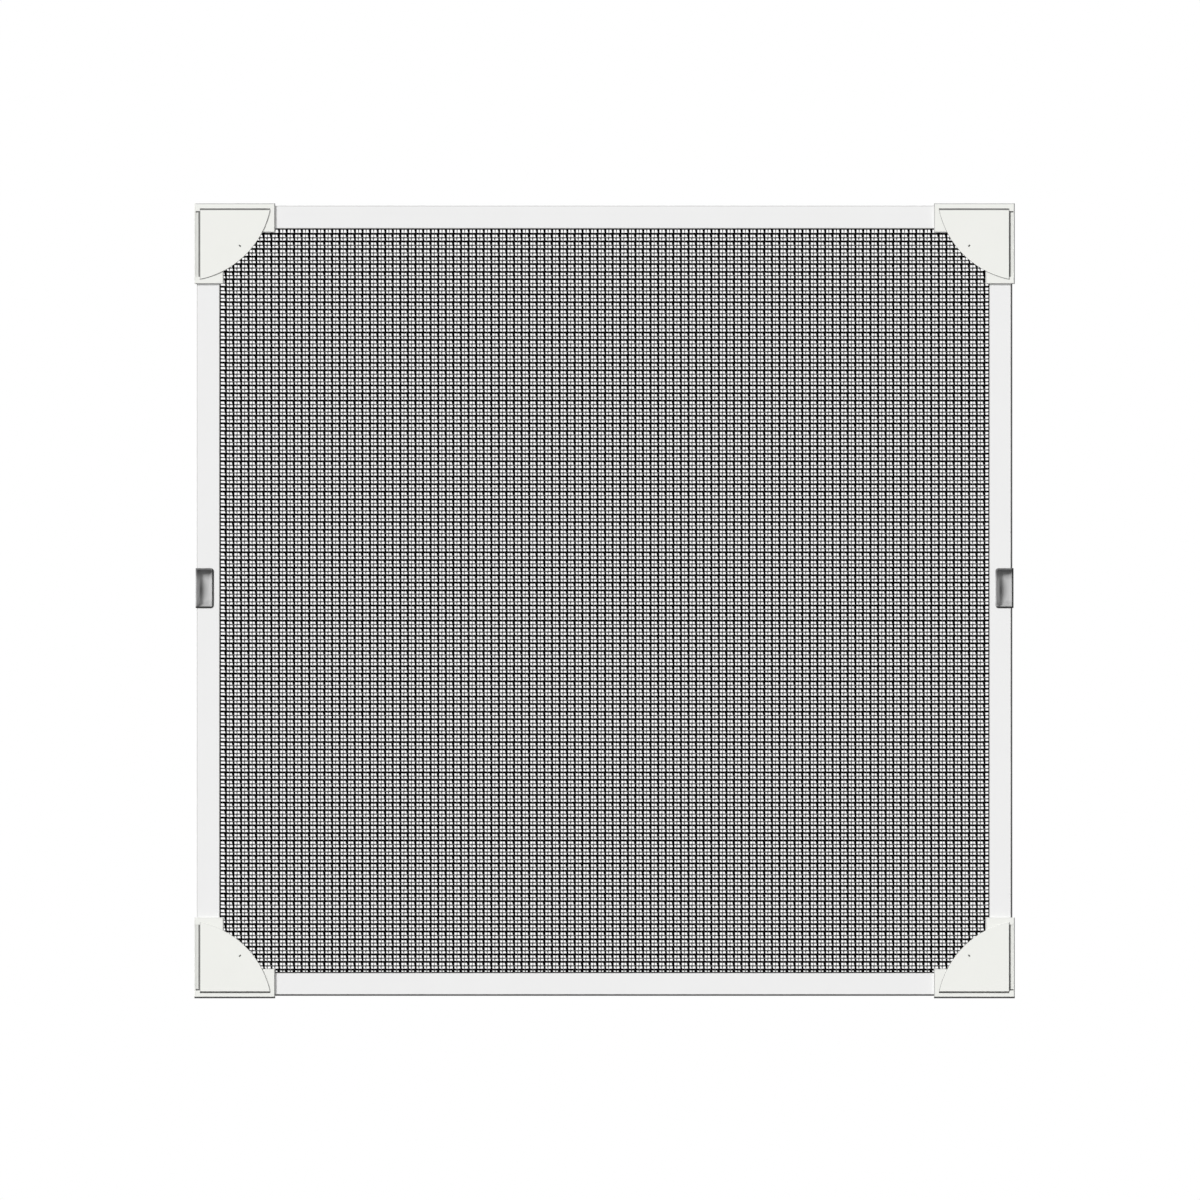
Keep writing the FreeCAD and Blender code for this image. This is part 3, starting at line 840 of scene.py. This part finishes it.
class RollSpline(bpy.types.Operator):
    """Rolls the four lengths of ribbed spline cord into the groove"""

    bl_idname = "window_screen.roll_spline"
    bl_label = "Roll In Spline"

    def execute(self, context):
        sizes = context.scene.screen_spline
        material = finish("spline_rubber", spline_finish)
        for side in SIDES:
            node = "spline_" + side
            low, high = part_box(node)
            size = high - low
            upright = size.z > size.x
            bm = self.cord(sizes, size.z if upright else size.x, size.y / 2)
            place = Matrix.Translation((low + high) / 2)
            bmesh.ops.transform(bm, matrix=place @ laid(upright), verts=bm.verts)
            add_piece("cord_" + side, bm, material, [node])
        return {"FINISHED"}

    def cord(self, sizes, span, radius):
        """A round bar along Z with ribs round it and chamfered ends."""
        chamfer, end_share = 0.25 * MM, 0.88
        half = span / 2
        steps = 2 * int(span / sizes.rib_pitch)
        stations = [(-half, end_share), (chamfer - half, 1.0)]
        for index in range(1, steps):
            kept = 1.0 if index % 2 else 1.0 - sizes.rib_height / radius
            stations.append((index * span / steps - half, kept))
        stations += [(half - chamfer, 1.0), (half, end_share)]
        bm, corners = ringed_bar(sizes.facets, radius, len(stations))
        for vert, index in corners:
            along, kept = stations[index]
            vert.co = Vector((vert.co.x * kept, vert.co.y * kept, along))
        return bm


def stepped(bm, face, low, high, start, steps):
    """Leads a pull's face from a start depth through steps.

    A step is (inset from the pull's box, depth behind the pull's front)."""
    size = high - low
    centre = (low + high) / 2
    for vert in face.verts:
        vert.co.y = low.y + start
    before = 0.0
    for inset, deep in steps:
        made = bmesh.ops.extrude_face_region(bm, geom=[face])["geom"]
        bmesh.ops.delete(bm, geom=[face], context="FACES_ONLY")
        wide = (size.x - 2 * inset) / (size.x - 2 * before)
        tall = (size.z - 2 * inset) / (size.z - 2 * before)
        for vert in (item for item in made if isinstance(item, bmesh.types.BMVert)):
            vert.co.x = centre.x + (vert.co.x - centre.x) * wide
            vert.co.z = centre.z + (vert.co.z - centre.z) * tall
            vert.co.y = low.y + deep
        face = next(item for item in made if isinstance(item, bmesh.types.BMFace))
        before = inset


def bevelled(bm, geom, offset, segments, affect):
    """Bevels some corners or edges, rounded by several segments."""
    bmesh.ops.bevel(
        bm, geom=geom, offset=offset, segments=segments, profile=0.5, affect=affect, material=-1
    )


class MouldPulls(bpy.types.Operator):
    """Moulds the two dished finger pulls"""

    bl_idname = "window_screen.mould_pulls"
    bl_label = "Mould Finger Pulls"

    def execute(self, context):
        sizes = context.scene.screen_pull
        material = finish("pull_satin", pull_finish)
        for side in ("left", "right"):
            node = "finger_pull_" + side
            low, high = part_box(node)
            bm = self.dish(sizes, low, high)
            if side == "right":
                to_centre = Matrix.Translation((-(low.x + high.x) / 2, 0, 0))
                bmesh.ops.scale(bm, vec=(-1, 1, 1), space=to_centre, verts=bm.verts)
                bmesh.ops.reverse_faces(bm, faces=bm.faces)
            piece = add_piece("pull_" + side, bm, material, [node])
            piece.data.set_sharp_from_angle(angle=math.radians(42))
        return {"FINISHED"}

    def dish(self, sizes, low, high):
        """A left pull: its rim and hollow, then the flange's edge and body, then the outer skirt."""
        bm = bmesh.new()
        face = self.outline(bm, sizes, low, high)
        back = bmesh.ops.duplicate(bm, geom=[face, *face.edges, *face.verts])["geom"]
        back_face = next(item for item in back if isinstance(item, bmesh.types.BMFace))
        stepped(bm, face, low, high, PULL_EDGE, self.hollow(sizes))
        flange, lap = sizes.flange, sizes.lap
        body = ((0.0, flange), (lap, flange), (lap, (high - low).y - HAIR))
        stepped(bm, back_face, low, high, PULL_EDGE, body)
        bmesh.ops.remove_doubles(bm, verts=bm.verts, dist=0.005 * MM)
        self.skirt(bm, sizes, low, high)
        bmesh.ops.recalc_face_normals(bm, faces=bm.faces)
        return bm

    def outline(self, bm, sizes, low, high):
        """The pull's flat outline: rounded towards the cloth, bevelled towards the outside."""
        size = high - low
        centre = (low + high) / 2
        bmesh.ops.create_grid(bm, x_segments=1, y_segments=1, size=0.5)
        place = Matrix.Translation((centre.x, low.y, centre.z))
        form = Matrix.Diagonal((size.x, size.z, 1.0, 1.0))
        stand = Matrix.Rotation(RIGHT_ANGLE, 4, "X")
        bmesh.ops.transform(bm, matrix=place @ stand @ form, verts=bm.verts)
        for inner, offset, segments in ((True, sizes.corner, 7), (False, sizes.bevel, 3)):
            chosen = [vert for vert in bm.verts if (vert.co.x > centre.x) == inner]
            bevelled(bm, chosen, offset, segments, "VERTICES")
        return next(iter(bm.faces))

    def hollow(self, sizes):
        """The steps over the rim and down the hollow, which is rounded as a quarter ellipse."""
        ledge = sizes.flange / 2
        steps = [(PULL_EDGE, 0.0), (PULL_EDGE + sizes.rim, 0.0), (sizes.lap, ledge)]
        turns = 9
        for index in range(1, turns + 1):
            angle = RIGHT_ANGLE * index / turns
            inset = sizes.lap + (sizes.floor_inset - sizes.lap) * (1 - math.cos(angle))
            steps.append((inset, ledge + (sizes.dish - ledge) * math.sin(angle)))
        return steps

    def skirt(self, bm, sizes, low, high):
        """The wall that stands outside the stile, behind the flange."""
        size = high - low
        depth = size.y - sizes.flange
        up = ((low + high) / 2).z
        place = Vector((low.x + sizes.overhang / 2, low.y + sizes.flange + depth / 2, up))
        form = Matrix.Diagonal((sizes.overhang, depth, size.z, 1.0))
        verts = bmesh.ops.create_cube(bm, size=1.0)["verts"]
        bmesh.ops.transform(bm, matrix=Matrix.Translation(place) @ form, verts=verts)
        edges = dict.fromkeys(edge for vert in verts for edge in vert.link_edges)
        bevelled(bm, list(edges), PULL_EDGE, 2, "EDGES")


class FinishFrame(bpy.types.Operator):
    """Gives the rails and the corner connectors their finishes"""

    bl_idname = "window_screen.finish_frame"
    bl_label = "Finish Frame"

    def execute(self, context):
        for names, material in (
            (RAILS, finish("rail_powder_coat", rail_finish)),
            (CORNERS, finish("corner_moulding", corner_finish)),
        ):
            for name in names:
                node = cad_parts[name]
                node.data.materials.clear()
                node.data.materials.append(material)
        return {"FINISHED"}


# Studio

KEY_WAY = Vector((-0.62, -0.66, 0.52))
BACK_WAY = Vector((0.5, 0.76, 0.25))
LAMP_BREADTH = math.radians(14)
LAMP_DISTANCE = 3.0
FLOOR_HALF = 6.0
CAMERA_END = 20.0
WHITE = (1.0, 1.0, 1.0, 1.0)
PAPER = (0.62, 0.62, 0.62, 1.0)


def seen_rays(tree):
    """Clears a node tree, and gives 1 for rays that the viewer sees and 0 for those that carry light."""
    wires = Wiring(tree)
    tree.nodes.clear()
    path = wires.add("ShaderNodeLightPath")
    rays = ("Is Camera Ray", "Is Glossy Ray", "Is Transmission Ray")
    return wires, wires.most(*(path.outputs[name] for name in rays))


class SetStage(bpy.types.Operator):
    """Sets the floor, the lamps, the white surroundings and the camera"""

    bl_idname = "window_screen.set_stage"
    bl_label = "Set Stage"

    def execute(self, context):
        scene = context.scene
        view = scene.screen_view
        _, height = frame_size()
        self.world(scene, view.fill)
        self.floor(scene, view.fill)
        aim = Vector((0.0, 0.0, height / 2))
        self.lamp(scene, "key_lamp", aim, KEY_WAY, view.key)
        back = self.lamp(scene, "back_lamp", aim, BACK_WAY, view.back)
        back.visible_glossy = False
        self.camera(scene, view, height / 2)
        scene.view_settings.view_transform = "Standard"
        return {"FINISHED"}

    def camera(self, scene, view, middle):
        """A camera straight in front, without perspective."""
        camera = bpy.data.cameras.new("front_camera")
        camera.type = "ORTHO"
        camera.ortho_scale = view.frame_width
        camera.clip_end = CAMERA_END
        holder = bpy.data.objects.new("front_camera", camera)
        holder.location = (-view.left, -view.distance, middle + view.above)
        holder.rotation_euler = (RIGHT_ANGLE, 0.0, 0.0)
        scene.collection.objects.link(holder)
        scene.camera = holder

    def world(self, scene, fill):
        """White where it is seen, and an even soft light on the object."""
        world = bpy.data.worlds.new("studio")
        world.use_nodes = True
        wires, seen = seen_rays(world.node_tree)
        background = wires.add("ShaderNodeBackground")
        wires.feed_all(background, {"Color": WHITE, "Strength": wires.ramp(seen, 0.0, 1.0, fill, 1.0)})
        output = wires.add("ShaderNodeOutputWorld")
        wires.join(background.outputs["Background"], output.inputs["Surface"])
        scene.world = world

    def floor(self, scene, fill):
        """A pale floor that shows the object's shadow and lights it as evenly as the world does."""
        bm = bmesh.new()
        bmesh.ops.create_grid(bm, x_segments=1, y_segments=1, size=FLOOR_HALF)
        mesh = to_mesh(bm, "floor")
        material = bpy.data.materials.new("floor_paper")
        material.use_nodes = True
        wires, seen = seen_rays(material.node_tree)
        matte = wires.add("ShaderNodeBsdfDiffuse")
        wires.feed(matte.inputs["Color"], PAPER)
        glow = wires.add("ShaderNodeEmission")
        wires.join(wires.ramp(seen, 0.0, 1.0, fill, 0.36), glow.inputs["Strength"])
        both = wires.add("ShaderNodeAddShader")
        wires.join(matte.outputs["BSDF"], both.inputs[0])
        wires.join(glow.outputs["Emission"], both.inputs[1])
        blend = wires.add("ShaderNodeMixShader")
        wires.join(seen, blend.inputs["Fac"])
        wires.join(glow.outputs["Emission"], blend.inputs[1])
        wires.join(both.outputs["Shader"], blend.inputs[2])
        output = wires.add("ShaderNodeOutputMaterial")
        wires.join(blend.outputs["Shader"], output.inputs["Surface"])
        mesh.materials.append(material)
        floor = bpy.data.objects.new("floor", mesh)
        scene.collection.objects.link(floor)

    def lamp(self, scene, name, aim, way, energy):
        """A broad distant lamp that shines from one way."""
        data = bpy.data.lights.new(name, "SUN")
        data.energy = energy
        data.angle = LAMP_BREADTH
        lamp = bpy.data.objects.new(name, data)
        lamp.location = aim + way * LAMP_DISTANCE
        lamp.rotation_euler = way.to_track_quat("Z", "Y").to_euler()
        scene.collection.objects.link(lamp)
        return lamp


class WindowScreenPanel(bpy.types.Panel):
    """Lists the window screen's steps"""

    bl_idname = "VIEW3D_PT_window_screen"
    bl_label = "Window Screen"
    bl_space_type = "VIEW_3D"
    bl_region_type = "UI"
    bl_category = "Window Screen"

    def draw(self, context):
        layout = self.layout
        for operator in OPERATORS:
            layout.operator(operator.bl_idname)
        for name, group in PROPERTY_GROUPS.items():
            box = layout.box()
            box.label(text=group.__doc__.rstrip("."))
            settings = getattr(context.scene, name)
            for key in group.__annotations__:
                box.prop(settings, key)


OPERATORS = (SetStage, FinishFrame, WeaveCloth, RollSpline, MouldPulls)


def register():
    for group in PROPERTY_GROUPS.values():
        bpy.utils.register_class(group)
    for operator in OPERATORS:
        bpy.utils.register_class(operator)
    bpy.utils.register_class(WindowScreenPanel)
    for name, group in PROPERTY_GROUPS.items():
        setattr(bpy.types.Scene, name, PointerProperty(type=group))


def unregister():
    for name in PROPERTY_GROUPS:
        delattr(bpy.types.Scene, name)
    bpy.utils.unregister_class(WindowScreenPanel)
    for operator in reversed(OPERATORS):
        bpy.utils.unregister_class(operator)
    for group in reversed(list(PROPERTY_GROUPS.values())):
        bpy.utils.unregister_class(group)


def main():
    register()
    bpy.ops.window_screen.set_stage()
    bpy.ops.window_screen.finish_frame()
    bpy.ops.window_screen.weave_cloth()
    bpy.ops.window_screen.roll_spline()
    bpy.ops.window_screen.mould_pulls()


if __name__ == "__main__":
    main()
